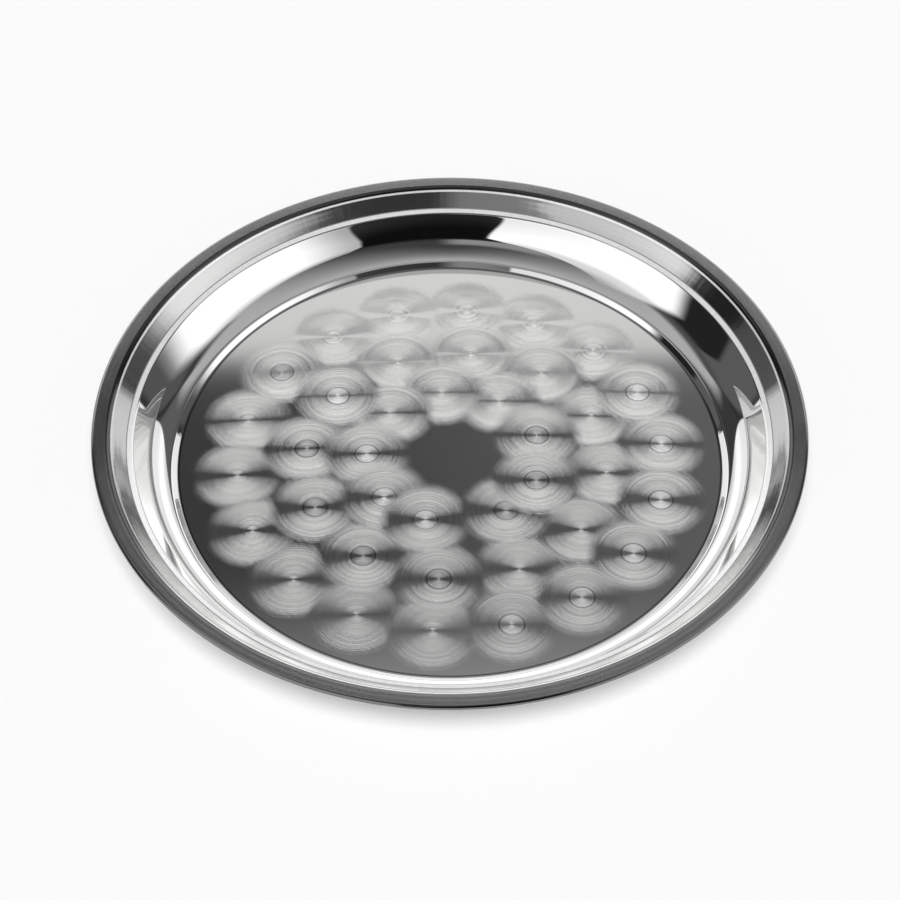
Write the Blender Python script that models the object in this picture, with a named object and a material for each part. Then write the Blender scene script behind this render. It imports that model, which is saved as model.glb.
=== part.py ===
"""Round serving tray: a pan pressed from one steel sheet, its edge rolled round a wire hoop.

Metres, +Z up. The origin is the middle of the underside, on the surface the tray stands on.
"""

import math

import bmesh
import bpy

# Overall sizes
TRAY_DIAMETER = 0.350
TRAY_HEIGHT = 0.033
SHEET = 0.0006

# Low ring round the flat base, from its foot to where the wall's curve begins
RING_FOOT_RADIUS = 0.0012
RING_SLOPE = math.radians(40)
RING_SIDE_LENGTH = 0.0026
RING_CROWN_RADIUS = 0.0015
RING_TOP_SLOPE = math.radians(4)
RING_TOP_WIDTH = 0.0026

# Wall, and the hollow curve at its foot
WALL_FOOT_RADIUS = 0.0040
WALL_SLOPE = math.radians(60)

# Narrow ledge between the wall and the band above it
SHOULDER_RADIUS = 0.0020
LEDGE_SLOPE = math.radians(18)
LEDGE_WIDTH = 0.0020
BAND_FOOT_RADIUS = 0.0015

# Sloped band under the lip, and the lip, which rises slightly outwards
BAND_SLOPE = math.radians(47)
BAND_LENGTH = 0.0103
LIP_BEND_RADIUS = 0.0025
LIP_SLOPE = math.radians(3)
LIP_WIDTH = 0.0057

# Rolled edge and the wire in it
WIRE_DIAMETER = 0.0012
WIRE_CLEARANCE = 0.0003
ROLL_TURN = math.radians(285)

# Facets: sides of the whole round, and the turn between two points of a bend
SIDES = 64
BEND_STEP = math.radians(24)
WIRE_SIDES = 8

# How near the axis a turned point counts as lying on it
AXIS_MERGE = 0.00001

STEEL_COLOUR = (0.62, 0.62, 0.61, 1.0)
WIRE_COLOUR = (0.45, 0.45, 0.45, 1.0)
STEEL_ROUGHNESS = 0.12
WIRE_ROUGHNESS = 0.35


def roll_radius():
    """Outer radius of the rolled edge: the wire, its clearance and the sheet round it."""
    return WIRE_DIAMETER / 2 + WIRE_CLEARANCE + SHEET


class SheetPath:
    """Walks along the face of the sheet that carries the food, outwards from the base's edge.

    Each point keeps its heading, so that the sheet's other face is the same walk one thickness away.
    """

    def __init__(self):
        self.out = 0.0
        self.up = 0.0
        self.heading = 0.0
        self.points = [(self.out, self.up, self.heading)]

    def straight(self, length):
        """Goes straight on for a length."""
        self.out += length * math.cos(self.heading)
        self.up += length * math.sin(self.heading)
        self.points.append((self.out, self.up, self.heading))

    def bend(self, radius, heading):
        """Turns to a new heading on an arc whose radius is measured on this face."""
        turn = heading - self.heading
        steps = max(1, math.ceil(abs(turn) / BEND_STEP))
        side = math.copysign(1.0, turn)
        centre_out = self.out - side * radius * math.sin(self.heading)
        centre_up = self.up + side * radius * math.cos(self.heading)
        start = self.heading
        for step in range(1, steps + 1):
            self.heading = start + turn * step / steps
            self.out = centre_out + side * radius * math.sin(self.heading)
            self.up = centre_up - side * radius * math.cos(self.heading)
            self.points.append((self.out, self.up, self.heading))


def walk_ring_and_foot(path):
    """The low ring, and the hollow curve that starts the wall."""
    path.bend(RING_FOOT_RADIUS, RING_SLOPE)
    path.straight(RING_SIDE_LENGTH)
    path.bend(RING_CROWN_RADIUS, RING_TOP_SLOPE)
    path.straight(RING_TOP_WIDTH)
    path.bend(WALL_FOOT_RADIUS, WALL_SLOPE)


def walk_ledge_and_lip(path):
    """The ledge at the top of the wall, the band above it, and the lip up to the roll's highest line."""
    path.bend(SHOULDER_RADIUS, LEDGE_SLOPE)
    path.straight(LEDGE_WIDTH)
    path.bend(BAND_FOOT_RADIUS, BAND_SLOPE)
    path.straight(BAND_LENGTH)
    path.bend(LIP_BEND_RADIUS, LIP_SLOPE)
    path.straight(LIP_WIDTH)
    path.bend(roll_radius(), 0.0)


def rise_of(walk):
    """How far a stretch of the path climbs, starting at the heading that it follows on from."""
    path = SheetPath()
    path.heading = WALL_SLOPE if walk is walk_ledge_and_lip else 0.0
    walk(path)
    return path.up


def pan_path():
    """The whole walk from the base's edge to the end of the rolled edge, and where it ends outermost."""
    climb = TRAY_HEIGHT - SHEET
    wall_rise = climb - rise_of(walk_ring_and_foot) - rise_of(walk_ledge_and_lip)
    path = SheetPath()
    walk_ring_and_foot(path)
    path.straight(wall_rise / math.sin(WALL_SLOPE))
    walk_ledge_and_lip(path)
    path.bend(roll_radius(), -math.pi / 2)
    outermost = path.out
    path.bend(roll_radius(), -ROLL_TURN)
    return path, outermost


def pan_outline(path, base_radius):
    """Closed section of the sheet, from the axis on top, out and round, to the axis underneath."""
    top = [(base_radius + out, SHEET + up) for out, up, _ in path.points]
    under = [
        (base_radius + out + SHEET * math.sin(heading), SHEET + up - SHEET * math.cos(heading))
        for out, up, heading in path.points
    ]
    return [(0.0, SHEET)] + top + under[::-1] + [(0.0, 0.0)]


def steel(name, colour, roughness):
    """A plain metal material."""
    material = bpy.data.materials.new(name)
    material.use_nodes = True
    shader = material.node_tree.nodes["Principled BSDF"]
    shader.inputs["Base Color"].default_value = colour
    shader.inputs["Metallic"].default_value = 1.0
    shader.inputs["Roughness"].default_value = roughness
    return material


def turned(name, outline, material, parent):
    """One object: an outline in the XZ plane turned about Z."""
    shape = bmesh.new()
    corners = [shape.verts.new((out, 0.0, up)) for out, up in outline]
    for first, second in zip(corners, corners[1:]):
        shape.edges.new((first, second))
    mesh = bpy.data.meshes.new(name)
    shape.to_mesh(mesh)
    shape.free()
    mesh.materials.append(material)
    piece = bpy.data.objects.new(name, mesh)
    bpy.context.scene.collection.objects.link(piece)
    piece.parent = parent
    screw = piece.modifiers.new("Turn", "SCREW")
    screw.axis = "Z"
    screw.steps = SIDES
    screw.render_steps = SIDES
    screw.use_merge_vertices = True
    screw.merge_threshold = AXIS_MERGE
    screw.use_smooth_shade = True
    return piece


def tray_pan(parent):
    """The pressed sheet, with its base as wide as the rest of the walk leaves it."""
    path, outermost = pan_path()
    base_radius = TRAY_DIAMETER / 2 - outermost
    material = steel("polished_steel", STEEL_COLOUR, STEEL_ROUGHNESS)
    return turned("tray_pan", pan_outline(path, base_radius), material, parent)


def rim_wire(parent):
    """The hoop of wire in the middle of the rolled edge."""
    hoop_radius = TRAY_DIAMETER / 2 - roll_radius()
    wire_height = TRAY_HEIGHT - roll_radius()
    bpy.ops.mesh.primitive_torus_add(
        location=(0.0, 0.0, wire_height),
        major_radius=hoop_radius,
        minor_radius=WIRE_DIAMETER / 2,
        major_segments=SIDES,
        minor_segments=WIRE_SIDES,
    )
    piece = bpy.context.object
    piece.name = "rim_wire"
    piece.parent = parent
    piece.data.shade_smooth()
    piece.data.materials.append(steel("rim_wire_steel", WIRE_COLOUR, WIRE_ROUGHNESS))
    return piece


def main():
    """Clears the scene and builds the tray."""
    for item in list(bpy.data.objects):
        bpy.data.objects.remove(item)
    tray = bpy.data.objects.new("tray", None)
    bpy.context.scene.collection.objects.link(tray)
    tray_pan(tray)
    rim_wire(tray)


main()
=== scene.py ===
"""Looks of a round pressed steel serving tray, in a plain studio.

The tray is one pressed sheet with a swirl ground base, a mirror wall and a satin lip rolled round a wire.
Metres, +Z up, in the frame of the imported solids.
"""

import logging
import math
from dataclasses import dataclass, field
from enum import Enum
from typing import Any, Optional, Union

import bpy
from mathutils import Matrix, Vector


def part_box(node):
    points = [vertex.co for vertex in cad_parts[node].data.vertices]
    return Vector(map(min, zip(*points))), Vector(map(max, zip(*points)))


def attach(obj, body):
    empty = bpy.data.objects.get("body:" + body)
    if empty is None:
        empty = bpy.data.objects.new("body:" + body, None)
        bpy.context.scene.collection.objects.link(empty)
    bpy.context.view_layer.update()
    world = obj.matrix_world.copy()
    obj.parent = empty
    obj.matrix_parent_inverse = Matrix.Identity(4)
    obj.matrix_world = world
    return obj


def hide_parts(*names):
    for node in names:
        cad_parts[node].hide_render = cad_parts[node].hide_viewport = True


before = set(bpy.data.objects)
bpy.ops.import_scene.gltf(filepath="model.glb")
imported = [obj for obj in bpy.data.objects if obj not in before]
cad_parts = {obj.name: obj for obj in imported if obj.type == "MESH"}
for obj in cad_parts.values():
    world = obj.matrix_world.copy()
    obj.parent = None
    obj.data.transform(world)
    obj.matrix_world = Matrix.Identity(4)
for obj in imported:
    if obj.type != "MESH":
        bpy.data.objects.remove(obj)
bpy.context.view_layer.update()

LOG = logging.getLogger("serving_tray")
ROOT_BODY = "root"
PAN_NODE = "tray_pan"
WIRE_NODE = "rim_wire"

Number = Union[int, float]
Colour = tuple[float, float, float]


class Zone(Enum):
    """Finishes of the pan, in the order of its material slots."""

    SWIRL = 0
    MIRROR = 1
    LEDGE = 2
    BAND = 3
    CREASE = 4
    SATIN = 5
    UNDERSIDE = 6


class Pip(Enum):
    """What a swirl has in its middle, by what its number carries after the point."""

    NONE = 0.0
    DULL = 0.25
    BRIGHT = 0.5


class Signal:
    """One output of a node tree. Python's operators on it add Math nodes."""

    def __init__(self, desk: "NodeDesk", socket: bpy.types.NodeSocket) -> None:
        """Wraps a socket.

        Args:
            desk: The desk that adds nodes to the socket's tree.
            socket: The output that carries the value.
        """
        self.desk = desk
        self.socket = socket

    def __add__(self, other: "Operand") -> "Signal":
        """Sum."""
        return self.desk.math("ADD", self, other)

    def __radd__(self, other: Number) -> "Signal":
        """Sum with a number on the left."""
        return self.desk.math("ADD", other, self)

    def __sub__(self, other: "Operand") -> "Signal":
        """Difference."""
        return self.desk.math("SUBTRACT", self, other)

    def __rsub__(self, other: Number) -> "Signal":
        """Difference from a number on the left."""
        return self.desk.math("SUBTRACT", other, self)

    def __mul__(self, other: "Operand") -> "Signal":
        """Product."""
        return self.desk.math("MULTIPLY", self, other)

    def __rmul__(self, other: Number) -> "Signal":
        """Product with a number on the left."""
        return self.desk.math("MULTIPLY", other, self)

    def __truediv__(self, other: "Operand") -> "Signal":
        """Quotient."""
        return self.desk.math("DIVIDE", self, other)

    def __pow__(self, other: "Operand") -> "Signal":
        """Power."""
        return self.desk.math("POWER", self, other)

    def __neg__(self) -> "Signal":
        """The value with its sign turned."""
        return self.desk.math("MULTIPLY", self, -1.0)

    def __abs__(self) -> "Signal":
        """The value without its sign."""
        return self.desk.math("ABSOLUTE", self)

    def __lt__(self, other: "Operand") -> "Signal":
        """One where the value is less."""
        return self.desk.math("LESS_THAN", self, other)

    def __gt__(self, other: "Operand") -> "Signal":
        """One where the value is greater."""
        return self.desk.math("GREATER_THAN", self, other)


Operand = Union[Signal, Number]


class NodeDesk:
    """Adds nodes to one material's or world's tree."""

    def __init__(self, tree: bpy.types.NodeTree) -> None:
        """Clears the tree.

        Args:
            tree: The tree to work in.
        """
        self.tree = tree
        self.tree.nodes.clear()

    def node(
        self,
        kind: str,
        settings: Optional[dict[str, Any]] = None,
        inputs: Optional[dict[Union[str, int], Any]] = None,
    ) -> bpy.types.Node:
        """Adds one node.

        Args:
            kind: The node's type.
            settings: Properties of the node, set first.
            inputs: Values or signals for its sockets, by name or index.

        Returns:
            The new node.
        """
        made = self.tree.nodes.new(kind)
        for name, value in (settings or {}).items():
            setattr(made, name, value)
        for key, value in (inputs or {}).items():
            if isinstance(value, Signal):
                self.tree.links.new(value.socket, made.inputs[key])
            else:
                made.inputs[key].default_value = value
        return made

    def out(self, made: bpy.types.Node, key: Union[str, int] = 0) -> Signal:
        """One output of a node as a signal."""
        return Signal(self, made.outputs[key])

    def math(self, operation: str, *values: Operand) -> Signal:
        """A Math node's result."""
        return self.out(self.node("ShaderNodeMath", {"operation": operation}, dict(enumerate(values))))

    def vector(self, operation: str, *values: Any) -> Signal:
        """A Vector Math node's vector result."""
        made = self.node("ShaderNodeVectorMath", {"operation": operation}, dict(enumerate(values)))
        return self.out(made)

    def measure(self, operation: str, *values: Any) -> Signal:
        """A Vector Math node's number, such as a length."""
        made = self.node("ShaderNodeVectorMath", {"operation": operation}, dict(enumerate(values)))
        return self.out(made, "Value")

    def place(self) -> Signal:
        """Where on the object a point lies."""
        return self.out(self.node("ShaderNodeTexCoord"), "Object")

    def split(self, vector: Signal) -> tuple[Signal, Signal, Signal]:
        """The three parts of a vector."""
        made = self.node("ShaderNodeSeparateXYZ", inputs={0: vector})
        return self.out(made, 0), self.out(made, 1), self.out(made, 2)

    def join(self, x: Operand, y: Operand, z: Operand) -> Signal:
        """A vector of three values."""
        return self.out(self.node("ShaderNodeCombineXYZ", inputs={0: x, 1: y, 2: z}))

    def axis_distance(self, x: Signal, y: Signal) -> Signal:
        """How far from the Z axis a point lies."""
        return self.measure("LENGTH", self.join(x, y, 0.0))

    def ramp(
        self, value: Signal, low: Operand, high: Operand, start: Operand = 0.0, end: Operand = 1.0
    ) -> Signal:
        """A smooth step.

        Args:
            value: What drives it.
            low: Where it starts.
            high: Where it ends.
            start: What it gives up to low.
            end: What it gives from high on.

        Returns:
            The stepped value.
        """
        settings = {"interpolation_type": "SMOOTHSTEP", "clamp": True}
        ends = {0: value, 1: low, 2: high, 3: start, 4: end}
        return self.out(self.node("ShaderNodeMapRange", settings, ends))

    def noise(self, where: Signal, scale: float, detail: float = 2.0, dimensions: str = "3D") -> Signal:
        """A cloudy value about one half.

        Args:
            where: Coordinates, or one number for 1D.
            scale: Cells per unit.
            detail: Finer layers.
            dimensions: How many coordinates count.

        Returns:
            The value, from 0 to 1.
        """
        key = "W" if dimensions == "1D" else "Vector"
        inputs = {key: where, "Scale": scale, "Detail": detail}
        return self.out(self.node("ShaderNodeTexNoise", {"noise_dimensions": dimensions}, inputs), 0)

    def upright_streaks(self, x: Signal, y: Signal, per_turn: float, detail: float) -> Signal:
        """A cloudy value that changes only on the way round the Z axis.

        Args:
            x: Place along X.
            y: Place along Y.
            per_turn: Streaks in a whole turn.
            detail: Finer layers.

        Returns:
            The value, from 0 to 1.
        """
        turn = self.math("ARCTAN2", y, x) * (per_turn / math.tau)
        return self.noise(turn, 1.0, detail, "1D")

    def mix_vectors(self, share: Signal, first: Any, second: Any) -> Signal:
        """Goes from one vector to another."""
        settings = {"data_type": "VECTOR", "clamp_factor": True}
        return self.out(self.node("ShaderNodeMix", settings, {0: share, 4: first, 5: second}), 1)

    def mix_values(self, share: Operand, first: Operand, second: Operand) -> Signal:
        """Goes from one value to another."""
        settings = {"data_type": "FLOAT", "clamp_factor": True}
        return self.out(self.node("ShaderNodeMix", settings, {0: share, 2: first, 3: second}), 0)

    def mix_colours(self, share: Operand, first: Any, second: Any) -> Signal:
        """Goes from one colour to another."""
        settings = {"data_type": "RGBA", "clamp_factor": True}
        return self.out(self.node("ShaderNodeMix", settings, {0: share, 6: first, 7: second}), 2)

    def scale(self, vector: Signal, factor: Operand) -> Signal:
        """A vector made longer or shorter."""
        inputs = {0: vector, "Scale": factor}
        return self.out(self.node("ShaderNodeVectorMath", {"operation": "SCALE"}, inputs))

    def to_world(self, normal: Signal) -> Signal:
        """A normal of the object turned into the world's frame."""
        settings = {"vector_type": "NORMAL", "convert_from": "OBJECT", "convert_to": "WORLD"}
        return self.out(self.node("ShaderNodeVectorTransform", settings, {0: normal}))

    def bump(self, height: Signal, distance: float, normal: Optional[Signal] = None) -> Signal:
        """The normal of a surface with small hills.

        Args:
            height: How high each point stands.
            distance: What one unit of height is.
            normal: The normal without the hills, or none for the surface's own.

        Returns:
            The normal.
        """
        inputs = {"Height": height, "Strength": 1.0, "Distance": distance}
        if normal is not None:
            inputs["Normal"] = normal
        return self.out(self.node("ShaderNodeBump", None, inputs))

    def metal(self, inputs: dict[str, Any]) -> None:
        """Ends the tree in a metal shader.

        Args:
            inputs: Values or signals for the shader's sockets.
        """
        shader = self.node("ShaderNodeBsdfPrincipled", None, {"Metallic": 1.0, **inputs})
        self.node("ShaderNodeOutputMaterial", None, {"Surface": self.out(shader)})


def opaque(colour: Colour) -> tuple[float, float, float, float]:
    """A colour with full alpha."""
    return (*colour, 1.0)


def shaded(colour: Colour, share: float) -> tuple[float, float, float, float]:
    """A colour made darker or lighter, with full alpha."""
    return opaque(tuple(min(1.0, part * share) for part in colour))


class Finish:
    """A surface finish that fills a new material."""

    def material(self, name: str) -> bpy.types.Material:
        """Makes the material.

        Args:
            name: The material's name.

        Returns:
            The material, with its nodes laid out.
        """
        made = bpy.data.materials.new(name)
        made.use_nodes = True
        self.lay_out(NodeDesk(made.node_tree))
        return made

    def lay_out(self, desk: NodeDesk) -> None:
        """Adds the finish's nodes; each finish has its own."""
        raise NotImplementedError


@dataclass(frozen=True)
class MirrorSteel(Finish):
    """Polished sheet: a slightly wavy mirror, its wall shaded as running out of a wide hollow foot."""

    colour: Colour = (0.92, 0.92, 0.915)
    roughness: float = 0.02
    haze: float = 0.02
    haze_scale: float = 60.0
    wave_scale: float = 22.0
    wave_height: float = 0.00004
    foot_from: float = 0.1397
    foot_centre: float = 0.1376
    foot_radius: float = 0.0145
    wall_low: float = 0.1490
    wall_low_slope: float = math.radians(53.5)
    wall_high_slope: float = math.radians(50.5)
    near_slope: float = math.radians(60)
    ring: tuple[float, float] = (0.1366, 0.1390)
    ring_slope: float = math.radians(48)
    ring_near_slope: float = math.radians(40)
    near_turn: tuple[float, float] = (0.03, 0.10)
    wall_end: float = 0.1553
    blend: float = 0.0004
    # The base-edge range and its share paint shade: a dark line in the hollow crease at the low ring's
    # foot.
    rim: tuple[float, float] = (0.1363, 0.1368)
    edge_shade_share: float = 0.3

    def drawn_normal(self, desk: NodeDesk) -> Signal:
        """Works out the normal that the wall and the side of the low ring are shaded with.

        The wall leans in more and more over its foot, then stays at the slope of its far or near half.

        Args:
            desk: Where nodes are added.

        Returns:
            The normal, which is the sheet's own on top of the low ring and at the ledge.
        """
        x, y, _ = desk.split(desk.place())
        spoke = desk.join(x, y, 0.0)
        out = desk.measure("LENGTH", spoke)
        low, high, near = map(math.sin, (self.wall_low_slope, self.wall_high_slope, self.near_slope))
        far = desk.ramp(out, self.wall_low, self.wall_end, low, high)
        wall = desk.ramp(y / out, *self.near_turn, near, far)
        lean = desk.math("MINIMUM", (out - self.foot_centre) / self.foot_radius, wall)
        ring_near, ring_far = map(math.sin, (self.ring_near_slope, self.ring_slope))
        steep = desk.ramp(y / out, *self.near_turn, ring_near, ring_far)
        lean = desk.mix_values(out < self.ring[1], lean, steep)
        up = desk.math("SQRT", 1.0 - lean * lean)
        inward = desk.scale(desk.vector("NORMALIZE", spoke), -lean)
        drawn = desk.vector("ADD", inward, desk.join(0.0, 0.0, up))
        share = desk.ramp(out, self.foot_from, self.foot_from + self.blend)
        share = share * desk.ramp(out, self.wall_end, self.wall_end + self.blend, 1.0, 0.0)
        ring = desk.ramp(out, self.ring[0], self.ring[0] + self.blend)
        share = share + ring * desk.ramp(out, self.ring[1] - self.blend, self.ring[1], 1.0, 0.0)
        own = desk.out(desk.node("ShaderNodeNewGeometry"), "Normal")
        return desk.mix_vectors(share, own, desk.to_world(drawn))

    def lay_out(self, desk: NodeDesk) -> None:
        """Adds the nodes of the mirror."""
        place = desk.place()
        x, y, _ = desk.split(place)
        patches = desk.noise(place, self.haze_scale, detail=3.0)
        waves = desk.noise(place, self.wave_scale, detail=1.0)
        # Painted shade: the colour darkens into the hollow crease where the base meets the low ring.
        edge = desk.ramp(desk.axis_distance(x, y), *self.rim)
        desk.metal({
            "Base Color": desk.mix_colours(edge, shaded(self.colour, self.edge_shade_share), opaque(self.colour)),
            "Roughness": self.roughness + self.haze * patches,
            "Normal": desk.bump(waves, self.wave_height, self.drawn_normal(desk)),
        })


@dataclass(frozen=True)
class BandSteel(Finish):
    """Semi bright band with fine streaks that run up the slope and slight waves along it."""

    colour: Colour = (0.66, 0.66, 0.655)
    roughness: float = 0.08
    streaks_per_turn: float = 260.0
    streak_depth: float = 0.00002
    streak_haze: float = 0.08
    waves_per_metre: float = 300.0
    wave_depth: float = 0.00006

    def lay_out(self, desk: NodeDesk) -> None:
        """Adds the nodes of the streaked band."""
        x, y, _ = desk.split(desk.place())
        streaks = desk.upright_streaks(x, y, self.streaks_per_turn, detail=3.0)
        waves = desk.noise(desk.axis_distance(x, y), self.waves_per_metre, 1.0, "1D")
        desk.metal({
            "Base Color": opaque(self.colour),
            "Roughness": self.roughness + self.streak_haze * streaks,
            "Normal": desk.bump(self.streak_depth * streaks + self.wave_depth * waves, 1.0),
        })


@dataclass(frozen=True)
class SatinSteel(Finish):
    """Satin sheet, brushed along the rim: its bend has a painted highlight in front and painted shade
    elsewhere, its roll is darker.
    """

    colour: Colour = (0.59, 0.59, 0.585)
    roughness: float = 0.10
    lines_per_metre: float = 5200.0
    line_depth: float = 0.000015
    line_climb: float = 1.3
    line_tones: tuple[float, float] = (0.85, 1.12)
    patch_scale: float = 40.0
    patch_haze: float = 0.06
    # The roll range and its share colour the rolled edge darker than the lip.
    roll: tuple[float, float] = (0.1732, 0.1744)
    roll_share: float = 0.35
    # The bend range and its two shares paint a highlight on the bend's near half and shade on the rest of
    # it.
    bend: tuple[float, float] = (0.1675, 0.1682)
    bend_shade_share: float = 0.22
    bend_highlight_share: float = 1.3
    bend_highlight_turn: tuple[float, float] = (-0.75, -0.45)

    def lay_out(self, desk: NodeDesk) -> None:
        """Adds the nodes of the brushed lip."""
        place = desk.place()
        x, y, z = desk.split(place)
        out = desk.axis_distance(x, y)
        lines = desk.noise(out + z * self.line_climb, self.lines_per_metre, 2.0, "1D")
        patches = desk.noise(place, self.patch_scale)
        tone = desk.mix_colours(lines, *(shaded(self.colour, share) for share in self.line_tones))
        # Painted highlight on the front of the bend and painted shade on its sides and back, chosen by
        # y/out.
        far = desk.ramp(y / out, *self.bend_highlight_turn)
        bend_highlight_and_shade_tones = (shaded(self.colour, share) for share in (self.bend_highlight_share, self.bend_shade_share))
        bend = desk.mix_colours(far, *bend_highlight_and_shade_tones)
        tone = desk.mix_colours(desk.ramp(out, *self.bend), bend, tone)
        rolled = desk.ramp(out, *self.roll)
        desk.metal({
            "Base Color": desk.mix_colours(rolled, tone, shaded(self.colour, self.roll_share)),
            "Roughness": self.roughness + self.patch_haze * (patches - 0.5),
            "Normal": desk.bump(lines, self.line_depth),
        })


@dataclass(frozen=True)
class BuffedSteel(Finish):
    """Pale buffed metal, as on narrow edges that the press has scuffed."""

    colour: Colour = (0.93, 0.93, 0.925)
    roughness: float = 0.28
    metallic: float = 0.45
    streaks_per_turn: float = 420.0
    streak_tones: tuple[float, float] = (0.9, 1.06)
    # This range and share paint shade: a dark line in the hollow bend where the ledge turns up into the
    # band.
    crease_shade: tuple[float, float] = (0.1584, 0.1587)
    crease_shade_share: float = 0.3

    def lay_out(self, desk: NodeDesk) -> None:
        """Adds the nodes of the buffed metal."""
        x, y, _ = desk.split(desk.place())
        streaks = desk.upright_streaks(x, y, self.streaks_per_turn, detail=2.0)
        tone = desk.mix_colours(streaks, *(shaded(self.colour, share) for share in self.streak_tones))
        # Painted shade along the hollow bend at the band's foot.
        crease_shade = desk.ramp(desk.axis_distance(x, y), *self.crease_shade)
        desk.metal({
            "Base Color": desk.mix_colours(crease_shade, tone, shaded(self.colour, self.crease_shade_share)),
            "Roughness": self.roughness,
            "Metallic": self.metallic,
        })


@dataclass(frozen=True)
class MillSteel(Finish):
    """Plain rolled sheet, as on the underside and the wire."""

    colour: Colour = (0.58, 0.58, 0.575)
    roughness: float = 0.26
    grain_stretch: tuple[float, float, float] = (900.0, 30.0, 200.0)
    grain_depth: float = 0.000012
    grain_tones: tuple[float, float] = (0.9, 1.08)
    patch_scale: float = 25.0
    patch_haze: float = 0.14

    def lay_out(self, desk: NodeDesk) -> None:
        """Adds the nodes of the rolled sheet."""
        place = desk.place()
        grain = desk.noise(desk.vector("MULTIPLY", place, self.grain_stretch), 1.0, detail=3.0)
        patches = desk.noise(place, self.patch_scale, detail=3.0)
        tones = (shaded(self.colour, share) for share in self.grain_tones)
        desk.metal({
            "Base Color": desk.mix_colours(grain, *tones),
            "Roughness": self.roughness + self.patch_haze * (patches - 0.5),
            "Normal": desk.bump(grain, self.grain_depth),
        })


@dataclass(frozen=True)
class SwirlRing:
    """One ring of ground swirls on the base."""

    count: int
    radius: float
    first_degrees: float
    centre: tuple[float, float]
    dull_pips: frozenset[int]
    bright_pips: frozenset[int]
    astray: dict[int, float] = field(default_factory=dict)

    def centres(self) -> list[tuple[float, float, Pip]]:
        """Where the ring's swirls lie, and what pip they have; some lie a few degrees astray."""
        found = []
        for index in range(self.count):
            first = math.radians(self.first_degrees + self.astray.get(index, 0.0))
            angle = first + math.tau * index / self.count
            x = self.centre[0] + self.radius * math.cos(angle)
            y = self.centre[1] + self.radius * math.sin(angle)
            pip = Pip.DULL if index in self.dull_pips else Pip.NONE
            found.append((x, y, Pip.BRIGHT if index in self.bright_pips else pip))
        return found


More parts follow.
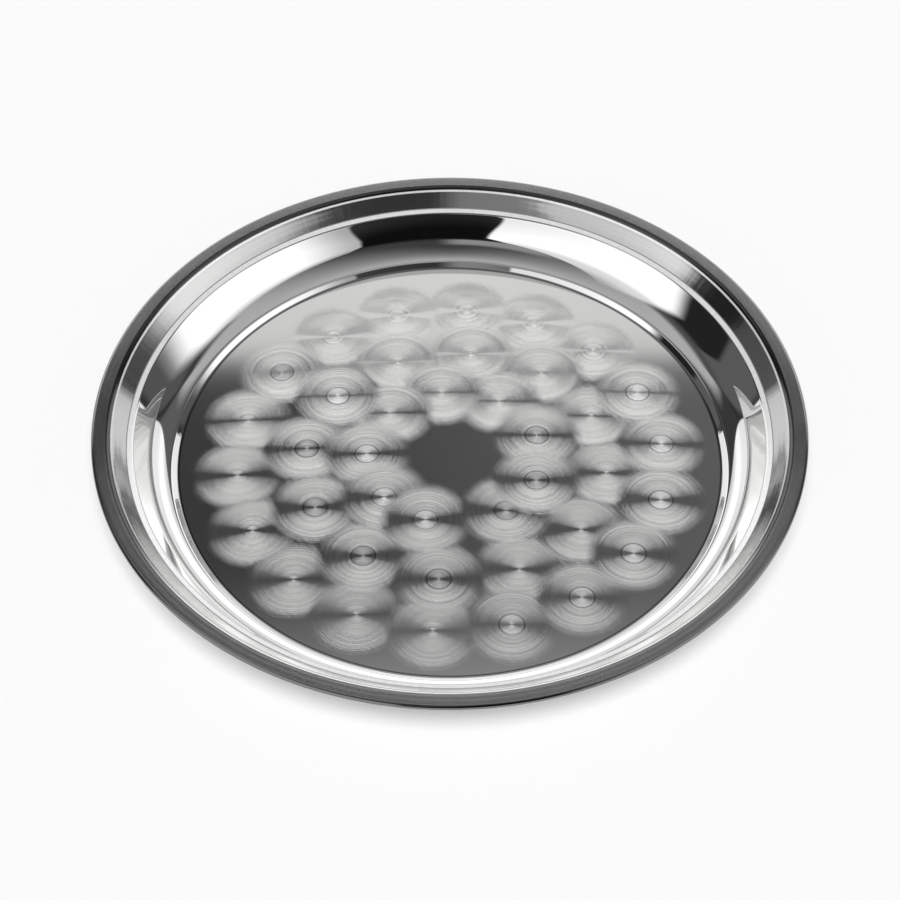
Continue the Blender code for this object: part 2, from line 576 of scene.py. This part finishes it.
@dataclass(frozen=True)
class SwirlSteel(Finish):
    """Ground base: overlapping swirls, each a disc of fine round grooves that fades out at its edge."""

    colour: Colour = (0.90, 0.90, 0.89)
    roughness: float = 0.06
    # The base-edge range and its share paint shade: a dark line along the base's edge, in the crease at the
    # low ring's foot.
    rim: tuple[float, float] = (0.1349, 0.1356)
    edge_shade_share: float = 0.3
    swirl_radius: float = 0.0205
    edge_width: float = 0.0058
    edge_wobble: float = 0.0009
    edge_per_metre: float = 5200.0
    edge_shift: float = 1.7
    grain_per_metre: tuple[float, float, float] = (51300.0, 37900.0, 0.0)
    scatter: float = 43758.5
    groove_pitch: float = 0.00001
    groove_shift: float = 31.0
    groove_tilt: float = 0.30
    dish: float = 0.009
    arc_tilt: float = 0.015
    pip_arc_tilt: float = 0.030
    arcs_per_metre: float = 1700.0
    arc_shift: float = 0.37
    spread_change: float = 0.16
    pip_spread_change: float = 0.45
    spread_per_metre: float = 600.0
    spread_shift: float = 0.53
    pip_radius: float = 0.0060
    pip_line: float = 0.00018
    pip_line_fade: float = 2.5
    pip_line_strength: float = 0.55
    pip_line_share: float = 0.2
    pip_gain: float = 1.26
    pip_loss: float = 0.75
    swirl_change: float = 0.06
    swirl_draw: float = 2.0
    swirl_draw_share: float = 0.4
    rings: tuple[SwirlRing, ...] = (
        SwirlRing(
            count=18,
            radius=0.1068,
            first_degrees=5.3,
            centre=(0.0005, -0.0033),
            dull_pips=frozenset((7,)),
            bright_pips=frozenset((0, 1, 14, 15, 16, 17)),
        ),
        SwirlRing(
            count=12,
            radius=0.0755,
            first_degrees=-6.5,
            centre=(0.0030, -0.0042),
            dull_pips=frozenset((6, 7, 8, 9)),
            bright_pips=frozenset((5,)),
        ),
        SwirlRing(
            count=9,
            radius=0.0440,
            first_degrees=18.0,
            centre=(0.0022, -0.0008),
            dull_pips=frozenset((0, 7, 8)),
            bright_pips=frozenset((4, 5, 6)),
            astray={6: -6.8, 7: 7.1},
        ),
    )

    def swirls(self) -> list[tuple[float, float, Pip]]:
        """All swirls in the order they were ground, those with a pip last."""
        found = [swirl for ring in self.rings for swirl in ring.centres()]
        return [s for s in found if s[2] is Pip.NONE] + [s for s in found if s[2] is not Pip.NONE]

    def chance(self, desk: NodeDesk, groove: Signal) -> Signal:
        """A value from 0 to 1 for each whole groove, with no order in it.

        Args:
            desk: Where nodes are added.
            groove: How many grooves out a point lies.

        Returns:
            The groove's value.
        """
        return desk.math("FRACT", desk.math("SINE", desk.math("FLOOR", groove)) * self.scatter)

    def top_swirl(self, desk: NodeDesk, place: Signal) -> Signal:
        """Finds the swirl that was ground last at each point.

        Args:
            desk: Where nodes are added.
            place: Flat place on the base.

        Returns:
            The offset from that swirl's centre in x and y, and in z its number and its pip.
        """
        grain = self.chance(desk, desk.measure("DOT_PRODUCT", place, self.grain_per_metre))
        edge = self.swirl_radius + self.edge_width * (grain - 0.5)
        top = desk.join(0.0, 0.0, -1.0)
        for number, (x, y, pip) in enumerate(self.swirls(), start=1):
            tag = number + pip.value
            offset = desk.vector("SUBTRACT", place, (x, y, -tag))
            reach = desk.measure("DISTANCE", place, (x, y, 0.0))
            phase = desk.math("MULTIPLY_ADD", reach, self.edge_per_metre, self.edge_shift * number)
            wave = desk.math("SINE", phase)
            ground = desk.math("MULTIPLY_ADD", wave, self.edge_wobble, reach) < edge
            top = desk.mix_vectors(ground, top, offset)
        return top

    def lay_out(self, desk: NodeDesk) -> None:
        """Adds the nodes of the swirls."""
        x, y, _ = desk.split(desk.place())
        place = desk.join(x, y, 0.0)
        dx, dy, tag = desk.split(self.top_swirl(desk, place))
        ground = tag > 0.0
        spoke = desk.join(dx, dy, 0.0)
        reach = desk.measure("LENGTH", spoke)
        outward = desk.vector("NORMALIZE", spoke)
        groove = self.chance(desk, reach * (1.0 / self.groove_pitch) + self.groove_shift * tag) - 0.5
        arcs = desk.noise(reach + self.arc_shift * tag, self.arcs_per_metre, 1.0, "1D") - 0.5
        spread = desk.noise(reach + self.spread_shift * tag, self.spread_per_metre, 1.0, "1D") - 0.5
        pip = desk.math("FRACT", tag)
        marked = ground * (pip > Pip.DULL.value / 2)
        arc_tilt = desk.mix_values(marked, self.arc_tilt, self.pip_arc_tilt)
        change = desk.mix_values(marked, self.spread_change, self.pip_spread_change)
        tilt = self.groove_tilt * groove * (1.0 + change * spread) + arc_tilt * arcs - self.dish
        lean = desk.scale(outward, ground * tilt)
        up = desk.vector("NORMALIZE", desk.vector("ADD", lean, (0.0, 0.0, 1.0)))
        line_end = self.pip_line_fade * self.pip_line
        rim = desk.ramp(abs(reach - self.pip_radius), self.pip_line, line_end, 1.0, 0.0)
        inner = marked * (reach < self.pip_radius)
        bright = pip > (Pip.DULL.value + Pip.BRIGHT.value) / 2
        duller = shaded(self.colour, 1.0 - self.swirl_change)
        brighter = shaded(self.colour, 1.0 + self.swirl_change)
        draw = self.swirl_draw_share * (self.chance(desk, self.swirl_draw * tag) - 0.5)
        tone = desk.mix_colours(0.5 + ground * (arcs + draw), duller, brighter)
        core_tones = (shaded(self.colour, share) for share in (self.pip_loss, self.pip_gain))
        tone = desk.mix_colours(inner, tone, desk.mix_colours(bright, *core_tones))
        line = self.pip_line_strength * marked * rim
        tone = desk.mix_colours(line, tone, shaded(self.colour, self.pip_line_share))
        # Painted shade: the colour darkens towards the base's edge, in the crease at the low ring's foot.
        edge = desk.ramp(desk.measure("LENGTH", place), *self.rim)
        desk.metal({
            "Base Color": desk.mix_colours(edge, tone, shaded(self.colour, self.edge_shade_share)),
            "Roughness": self.roughness,
            "Normal": desk.to_world(up),
        })


@dataclass
class SheetWalk:
    """Walks along the face of the sheet that carries the food, outwards from the base's edge."""

    bend_step: float
    out: float = 0.0
    up: float = 0.0
    heading: float = 0.0
    points: list[tuple[float, float]] = field(default_factory=lambda: [(0.0, 0.0)])
    least_steps: int = 2

    def straight(self, length: float, steps: int = 1) -> None:
        """Goes straight on.

        Args:
            length: How far.
            steps: In how many strides.
        """
        for _ in range(steps):
            self.out += length / steps * math.cos(self.heading)
            self.up += length / steps * math.sin(self.heading)
            self.points.append((self.out, self.up))

    def bend(self, radius: float, heading: float) -> None:
        """Turns on an arc.

        Args:
            radius: The arc's radius on this face.
            heading: The slope to turn to.
        """
        turn = heading - self.heading
        steps = max(self.least_steps, math.ceil(abs(turn) / self.bend_step))
        side = math.copysign(1.0, turn)
        middle_out = self.out - side * radius * math.sin(self.heading)
        middle_up = self.up + side * radius * math.cos(self.heading)
        start = self.heading
        for step in range(1, steps + 1):
            self.heading = start + turn * step / steps
            self.out = middle_out + side * radius * math.sin(self.heading)
            self.up = middle_up - side * radius * math.cos(self.heading)
            self.points.append((self.out, self.up))


@dataclass
class TrayPan:
    """The pressed sheet: base, low ring, wall, ledge, band, crease, lip and rolled edge."""

    sheet: float = 0.0006
    ring_foot_radius: float = 0.0012
    ring_slope: float = math.radians(40)
    ring_side_length: float = 0.0026
    ring_crown_radius: float = 0.0015
    ring_top_slope: float = math.radians(4)
    ring_top_width: float = 0.0026
    wall_foot_radius: float = 0.0040
    wall_slope: float = math.radians(60)
    shoulder_radius: float = 0.0020
    ledge_slope: float = math.radians(18)
    ledge_width: float = 0.0020
    band_foot_radius: float = 0.0015
    band_slope: float = math.radians(47)
    band_length: float = 0.0103
    lip_bend_radius: float = 0.0025
    crease_length: float = 0.0011
    crease_gap: float = 0.0005
    lip_slope: float = math.radians(3)
    lip_width: float = 0.0057
    wire_diameter: float = 0.0012
    wire_clearance: float = 0.0003
    roll_turn: float = math.radians(285)
    sides: int = 288
    bend_step: float = math.radians(6)
    wall_strides: int = 6
    band_strides: int = 3
    lip_strides: int = 3
    merge_distance: float = 1e-6
    base_rings: tuple[float, ...] = (0.25, 0.5, 0.75, 0.97, 1.0)
    zone_ends: dict[Zone, float] = field(default_factory=dict)
    piece: Optional[bpy.types.Object] = None

    def roll_radius(self) -> float:
        """Outer radius of the rolled edge."""
        return self.wire_diameter / 2 + self.wire_clearance + self.sheet

    def ring_and_foot(self, walk: SheetWalk) -> None:
        """Walks the low ring and the hollow curve that starts the wall."""
        walk.bend(self.ring_foot_radius, self.ring_slope)
        walk.straight(self.ring_side_length)
        walk.bend(self.ring_crown_radius, self.ring_top_slope)
        walk.straight(self.ring_top_width)
        walk.bend(self.wall_foot_radius, self.wall_slope)

    def ledge(self, walk: SheetWalk) -> None:
        """Walks the ledge at the top of the wall and the bend into the band."""
        walk.bend(self.shoulder_radius, self.ledge_slope)
        walk.straight(self.ledge_width)
        walk.bend(self.band_foot_radius, self.band_slope)

    def band(self, walk: SheetWalk) -> None:
        """Walks the band up to its bright top line."""
        walk.straight(self.band_length - self.crease_length - self.crease_gap, self.band_strides)

    def lip(self, walk: SheetWalk) -> None:
        """Walks the band's top line, the bend into the lip, and the lip up to the roll's highest line."""
        walk.straight(self.crease_length)
        walk.straight(self.crease_gap)
        walk.bend(self.lip_bend_radius, self.lip_slope)
        walk.straight(self.lip_width, self.lip_strides)
        walk.bend(self.roll_radius(), 0.0)

    def section(self, diameter: float, height: float) -> list[tuple[float, float]]:
        """Works out the sheet's section on the food side.

        Args:
            diameter: Outer diameter of the tray.
            height: Height of the tray.

        Returns:
            Radius and height of each point, from the base's edge to the end of the roll.
        """
        low = SheetWalk(self.bend_step)
        self.ring_and_foot(low)
        high = SheetWalk(self.bend_step, heading=self.wall_slope)
        self.ledge(high)
        self.band(high)
        self.lip(high)
        walk = SheetWalk(self.bend_step)
        self.ring_and_foot(walk)
        wall_rise = height - self.sheet - low.up - high.up
        walk.straight(wall_rise / math.sin(self.wall_slope), self.wall_strides)
        ledge_start = walk.out + self.shoulder_radius / 2
        self.ledge(walk)
        band_start = walk.out
        self.band(walk)
        crease_start = walk.out
        self.lip(walk)
        walk.bend(self.roll_radius(), -math.pi / 2)
        base_radius = diameter / 2 - walk.out
        walk.bend(self.roll_radius(), -self.roll_turn)
        self.zone_ends = {
            Zone.SWIRL: base_radius,
            Zone.MIRROR: base_radius + ledge_start,
            Zone.LEDGE: base_radius + band_start,
            Zone.BAND: base_radius + crease_start,
            Zone.CREASE: base_radius + crease_start + self.crease_length * math.cos(self.band_slope),
        }
        return [(base_radius + out, self.sheet + up) for out, up in walk.points]

    def build(self) -> bpy.types.Object:
        """Models the pan's sheet without thickness: a disc whose rim is extruded ring by ring along the
        section.

        Returns:
            The finished piece.
        """
        low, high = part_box(PAN_NODE)
        points = self.section(high[0] - low[0], high[2])
        base_radius = points[0][0]
        bpy.ops.object.select_all(action="DESELECT")
        bpy.ops.mesh.primitive_circle_add(
            vertices=self.sides,
            radius=base_radius * self.base_rings[0],
            fill_type="TRIFAN",
            location=(0.0, 0.0, 0.0),
        )
        piece = bpy.context.object
        piece.name = "tray_body"
        bpy.ops.object.mode_set(mode="EDIT")
        bpy.ops.mesh.select_mode(type="EDGE")
        bpy.ops.mesh.select_all(action="SELECT")
        bpy.ops.transform.translate(value=(0.0, 0.0, self.sheet))
        bpy.ops.mesh.select_all(action="DESELECT")
        bpy.ops.mesh.select_non_manifold()
        radius, height = base_radius * self.base_rings[0], self.sheet
        flat = [(base_radius * share, self.sheet) for share in self.base_rings[1:]]
        for next_radius, next_height in flat + points[1:]:
            step_up = {"value": (0.0, 0.0, next_height - height)}
            bpy.ops.mesh.extrude_region_move(TRANSFORM_OT_translate=step_up)
            grow = next_radius / radius
            bpy.ops.transform.resize(value=(grow, grow, 1.0), center_override=(0.0, 0.0, 0.0))
            radius, height = next_radius, next_height
        bpy.ops.mesh.select_all(action="SELECT")
        bpy.ops.mesh.remove_doubles(threshold=self.merge_distance)
        bpy.ops.mesh.normals_make_consistent(inside=False)
        bpy.ops.object.mode_set(mode="OBJECT")
        self.piece = piece
        return piece

    def thicken(self) -> None:
        """Gives the sheet its thickness, away from the food side."""
        solid = self.piece.modifiers.new("Sheet", "SOLIDIFY")
        solid.thickness = self.sheet
        solid.offset = -1.0
        solid.use_even_offset = True
        solid.use_quality_normals = True
        solid.material_offset = Zone.UNDERSIDE.value
        solid.material_offset_rim = Zone.UNDERSIDE.value
        bpy.ops.object.modifier_apply(modifier=solid.name)

    def face_up(self) -> None:
        """Turns the sheet's faces to the food side."""
        mesh = self.piece.data
        middle = min(mesh.polygons, key=lambda face: face.center.xy.length)
        if middle.normal.z < 0.0:
            bpy.ops.object.mode_set(mode="EDIT")
            bpy.ops.mesh.select_all(action="SELECT")
            bpy.ops.mesh.flip_normals()
            bpy.ops.object.mode_set(mode="OBJECT")

    def dress(self, finishes: dict[Zone, Finish]) -> None:
        """Gives each zone its finish and shades the sheet smooth.

        Args:
            finishes: The finish of each zone.
        """
        mesh = self.piece.data
        mesh.materials.clear()
        for zone in Zone:
            mesh.materials.append(finishes[zone].material(f"pan_{zone.name.lower()}"))
        for face in mesh.polygons:
            out = face.center.xy.length
            inside = [zone for zone, end in self.zone_ends.items() if out < end]
            face.material_index = (inside[0] if inside else Zone.SATIN).value
            face.use_smooth = True


@dataclass
class RimWire:
    """The hoop of drawn wire in the rolled edge, as the solids have it."""

    finish: Finish = MillSteel(colour=(0.45, 0.45, 0.45), roughness=0.34)

    def dress(self) -> bpy.types.Object:
        """Gives the hoop its finish.

        Returns:
            The hoop's object.
        """
        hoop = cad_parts[WIRE_NODE]
        hoop.data.materials.clear()
        hoop.data.materials.append(self.finish.material("drawn_wire"))
        return hoop


@dataclass(frozen=True)
class Softbox:
    """A patch of the studio as seen from the tray, in degrees; its inner side may lean outwards."""

    name: str
    inner: float
    outer: float
    high: float
    level: float
    top_level: float
    lean: float = 0.0
    inner_edge: float = 3.0
    outer_edge: float = 3.0
    top_edge: float = 5.0
    dim_width: float = 1.0
    dim_share: float = 1.0
    flare: float = 0.0
    low: float = -10.0
    low_edge: float = 2.0


@dataclass
class Studio:
    """Pale floor, white backdrop and softboxes round the tray, a ceiling, and a lamp in front."""

    floor_size: float = 8.0
    floor_gap: float = 0.0002
    floor_colour: Colour = (0.93, 0.93, 0.93)
    slot_left: float = 0.05
    slot_right: float = 0.135
    slot_half_width: float = 0.15
    slot_end: tuple[float, float] = (51.5, 58.5)
    ceiling_level: float = 0.54
    ceiling_fall: tuple[float, float] = (55.0, 122.0)
    ceiling_bend: float = 35.0
    front_level: float = 0.06
    front_fall: tuple[float, float] = (134.0, 147.0)
    front_share: float = 0.1
    backdrop_level: float = 0.86
    backdrop_aside: float = -0.12
    backdrop_heart: float = 2.2
    backdrop_heart_width: tuple[float, float] = (0.35, 0.9)
    backdrop_heart_end: float = 1.75
    backdrop_heart_rise: tuple[float, float] = (31.0, 44.5)
    backdrop_foot: float = 0.52
    backdrop_foot_end: float = 0.85
    backdrop_foot_rise: tuple[float, float] = (18.0, 30.0)
    backdrop_half_width: float = 1.42
    backdrop_height: float = 1.027
    backdrop_power: float = 2.6
    backdrop_edge: tuple[float, float] = (0.97, 1.03)
    backdrop_least: float = 0.001
    fill_level: float = 0.30
    lamp_height: float = 2.0
    lamp_tilt: float = 31.0
    lamp_degrees: float = 30.0
    lamp_strength: float = 2.88
    lean_from: float = 30.0
    flare_from: float = 38.0
    top_rise: tuple[float, float] = (28.0, 42.0)
    softboxes: tuple[Softbox, ...] = (
        Softbox("left_strip", inner=-84.0, outer=-126.0, high=47.0, level=0.02, top_level=0.10),
        Softbox("right_strip", inner=97.0, outer=126.0, high=47.0, level=0.02, top_level=0.06),
        Softbox(
            "left_shade",
            inner=-106.0,
            outer=-124.0,
            high=38.0,
            level=0.13,
            top_level=0.10,
            inner_edge=1.5,
            outer_edge=2.0,
            top_edge=3.0,
        ),
        Softbox(
            "right_shade",
            inner=110.0,
            outer=123.0,
            high=38.0,
            level=0.11,
            top_level=0.09,
            inner_edge=1.5,
            outer_edge=2.0,
            top_edge=3.0,
        ),
        Softbox(
            "left_glow",
            inner=0.0,
            outer=-44.0,
            high=55.0,
            level=0.34,
            top_level=0.34,
            inner_edge=6.0,
            outer_edge=10.0,
            top_edge=5.0,
            low=40.0,
        ),
        Softbox(
            "left",
            inner=-13.5,
            outer=-85.5,
            high=56.0,
            level=1.42,
            top_level=0.95,
            lean=0.95,
            inner_edge=1.0,
            outer_edge=4.0,
            top_edge=12.0,
            flare=1.45,
        ),
        Softbox(
            "right",
            inner=31.6,
            outer=105.5,
            high=43.0,
            level=1.45,
            top_level=0.95,
            lean=0.8,
            inner_edge=1.0,
            outer_edge=8.5,
            top_edge=4.0,
            dim_width=26.0,
            dim_share=0.42,
            flare=2.3,
        ),
    )

    def backdrop(
        self, desk: NodeDesk, level: Signal, toward: tuple[Signal, Signal, Signal], rise: Signal
    ) -> Signal:
        """Adds the white wall behind the tray: rounded corners, brightest in the middle two thirds up.

        Args:
            desk: Where nodes are added.
            level: The light of the rest of the studio.
            toward: Direction to the right, to the back and upwards.
            rise: Degrees above the horizon.

        Returns:
            The light with the wall in it.
        """
        x, y, z = toward
        deep = desk.math("MAXIMUM", y, self.backdrop_least)
        aside = abs(x / deep)
        wide = aside / self.backdrop_half_width
        tall = desk.math("MAXIMUM", z / deep, 0.0) / self.backdrop_height
        reach = wide ** self.backdrop_power + tall ** self.backdrop_power
        inside = desk.ramp(reach, *self.backdrop_edge, 1.0, 0.0) * (y > 0.0)
        shine = desk.math("MINIMUM", aside, self.backdrop_half_width)
        shine = self.backdrop_level + self.backdrop_aside * shine
        width = self.backdrop_heart_width
        glow = desk.ramp(aside, *width, self.backdrop_heart, self.backdrop_heart_end)
        shine = shine * desk.ramp(rise, *self.backdrop_heart_rise, glow, 1.0)
        dusk = desk.ramp(aside, *width, self.backdrop_foot, self.backdrop_foot_end)
        shine = shine * desk.ramp(rise, *self.backdrop_foot_rise, dusk, 1.0)
        return desk.mix_values(inside, level, shine)

    def softbox(self, desk: NodeDesk, level: Signal, box: Softbox, across: Signal, rise: Signal) -> Signal:
        """Adds one softbox.

        Args:
            desk: Where nodes are added.
            level: The light of the rest of the studio.
            box: The softbox.
            across: Degrees from the front, to the right.
            rise: Degrees above the horizon.

        Returns:
            The light with the softbox in it.
        """
        side = math.copysign(1.0, box.outer)
        aside = side * across
        inner, outer = side * box.inner, side * box.outer
        leant = aside - box.lean * desk.math("MAXIMUM", rise - self.lean_from, 0.0)
        leant = leant - box.flare * desk.math("MAXIMUM", rise - self.flare_from, 0.0)
        inside = desk.ramp(leant, inner - box.inner_edge, inner + box.inner_edge)
        inside = inside * desk.ramp(aside, outer - box.outer_edge, outer + box.outer_edge, 1.0, 0.0)
        inside = inside * desk.ramp(rise, box.high - box.top_edge, box.high + box.top_edge, 1.0, 0.0)
        inside = inside * desk.ramp(rise, box.low - box.low_edge, box.low + box.low_edge)
        shine = desk.ramp(rise, *self.top_rise, box.level, box.top_level)
        shine = shine * desk.ramp(leant, inner, inner + box.dim_width, box.dim_share, 1.0)
        lit = desk.mix_values(inside, level, shine)
        lit.socket.node.label = box.name
        return lit

    def light_up_world(self) -> None:
        """Lays out the world: what the steel mirrors, and plain white for the camera."""
        world = bpy.data.worlds.new("studio")
        world.use_nodes = True
        bpy.context.scene.world = world
        desk = NodeDesk(world.node_tree)
        x, y, z = desk.split(desk.out(desk.node("ShaderNodeTexCoord"), "Generated"))
        degrees = math.degrees(1.0)
        across = desk.math("ARCTAN2", x, -y) * degrees
        rise = desk.math("ARCSINE", z) * degrees
        pitch = desk.math("ARCTAN2", z, y) * degrees
        half = self.slot_half_width
        slot = desk.ramp(x, -half, half, self.slot_left, self.slot_right)
        bent = pitch - self.ceiling_bend * abs(x)
        ceiling = desk.ramp(bent, *self.ceiling_fall, self.ceiling_level, self.front_level)
        ceiling = ceiling * desk.ramp(pitch, *self.front_fall, 1.0, self.front_share)
        level = desk.mix_values(desk.ramp(pitch, *self.slot_end), slot, ceiling)
        for box in self.softboxes:
            level = self.softbox(desk, level, box, across, rise)
        level = self.backdrop(desk, level, (x, y, z), rise)
        path = desk.node("ShaderNodeLightPath")
        level = desk.mix_values(desk.out(path, "Diffuse Depth") > 0.5, level, self.fill_level)
        level = desk.mix_values(desk.out(path, "Is Camera Ray"), level, 1.0)
        light = desk.node("ShaderNodeBackground", None, {"Strength": level})
        desk.node("ShaderNodeOutputWorld", None, {"Surface": desk.out(light)})

    def lay_floor(self) -> bpy.types.Object:
        """Lays the pale floor.

        Returns:
            The floor.
        """
        bpy.ops.object.select_all(action="DESELECT")
        bpy.ops.mesh.primitive_plane_add(size=self.floor_size, location=(0.0, 0.0, -self.floor_gap))
        floor = bpy.context.object
        floor.name = "floor"
        material = bpy.data.materials.new("pale_floor")
        material.use_nodes = True
        desk = NodeDesk(material.node_tree)
        shader = desk.node("ShaderNodeBsdfDiffuse", None, {"Color": opaque(self.floor_colour)})
        desk.node("ShaderNodeOutputMaterial", None, {"Surface": desk.out(shader)})
        floor.data.materials.append(material)
        return floor

    def hang_lamp(self) -> None:
        """Hangs a wide soft lamp in front of the tray, which the steel doesn't mirror."""
        bpy.ops.object.light_add(type="SUN", location=(0.0, 0.0, self.lamp_height))
        lamp = bpy.context.object
        lamp.name = "front_lamp"
        lamp.rotation_euler = (math.radians(self.lamp_tilt), 0.0, 0.0)
        lamp.data.angle = math.radians(self.lamp_degrees)
        lamp.data.energy = self.lamp_strength
        lamp.visible_glossy = False
        lamp.visible_camera = False

    def set_up(self) -> None:
        """Builds the whole studio."""
        bpy.context.scene.view_settings.view_transform = "Standard"
        self.light_up_world()
        self.lay_floor()
        self.hang_lamp()


@dataclass
class PhotoCamera:
    """The camera at the photograph's viewing angle."""

    distance: float = 1.0052
    elevation: float = math.radians(48.47)
    lens: float = 80.0
    sensor: float = 36.0
    aim: tuple[float, float, float] = (0.0001, 0.00295, 0.0006)
    base_top: float = 0.0006
    roll: float = -0.0037

    def place(self) -> bpy.types.Object:
        """Adds the camera and makes it the scene's.

        Returns:
            The camera.
        """
        back, rise = math.cos(self.elevation), math.sin(self.elevation)
        stand = Vector((0.0, -self.distance * back, self.distance * rise + self.base_top))
        bpy.ops.object.camera_add(location=stand)
        camera = bpy.context.object
        camera.name = "photo_camera"
        look = (Vector(self.aim) - stand).to_track_quat("-Z", "Y").to_matrix().to_4x4()
        camera.rotation_euler = look.to_euler()
        camera.rotation_euler.rotate_axis("Z", self.roll)
        camera.data.lens = self.lens
        camera.data.sensor_width = self.sensor
        camera.data.dof.use_dof = False
        bpy.context.scene.camera = camera
        return camera


def pan_finishes() -> dict[Zone, Finish]:
    """The finish of each zone of the pan."""
    return {
        Zone.SWIRL: SwirlSteel(),
        Zone.MIRROR: MirrorSteel(),
        Zone.LEDGE: BuffedSteel(),
        Zone.BAND: BandSteel(),
        # The crease's buffed finish has no painted shade: its range lies beyond the tray.
        Zone.CREASE: BuffedSteel(crease_shade=(1.0, 1.1)),
        Zone.SATIN: SatinSteel(),
        Zone.UNDERSIDE: MillSteel(),
    }


def main() -> None:
    """Builds the tray, the studio and the camera."""
    logging.basicConfig(level=logging.INFO)
    pan = TrayPan()
    body = pan.build()
    pan.face_up()
    pan.dress(pan_finishes())
    pan.thicken()
    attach(body, ROOT_BODY)
    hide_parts(PAN_NODE)
    LOG.info("%s: %d faces", body.name, len(body.data.polygons))
    hoop = RimWire().dress()
    LOG.info("%s: dressed", hoop.name)
    Studio().set_up()
    PhotoCamera().place()


if __name__ == "__main__":
    main()
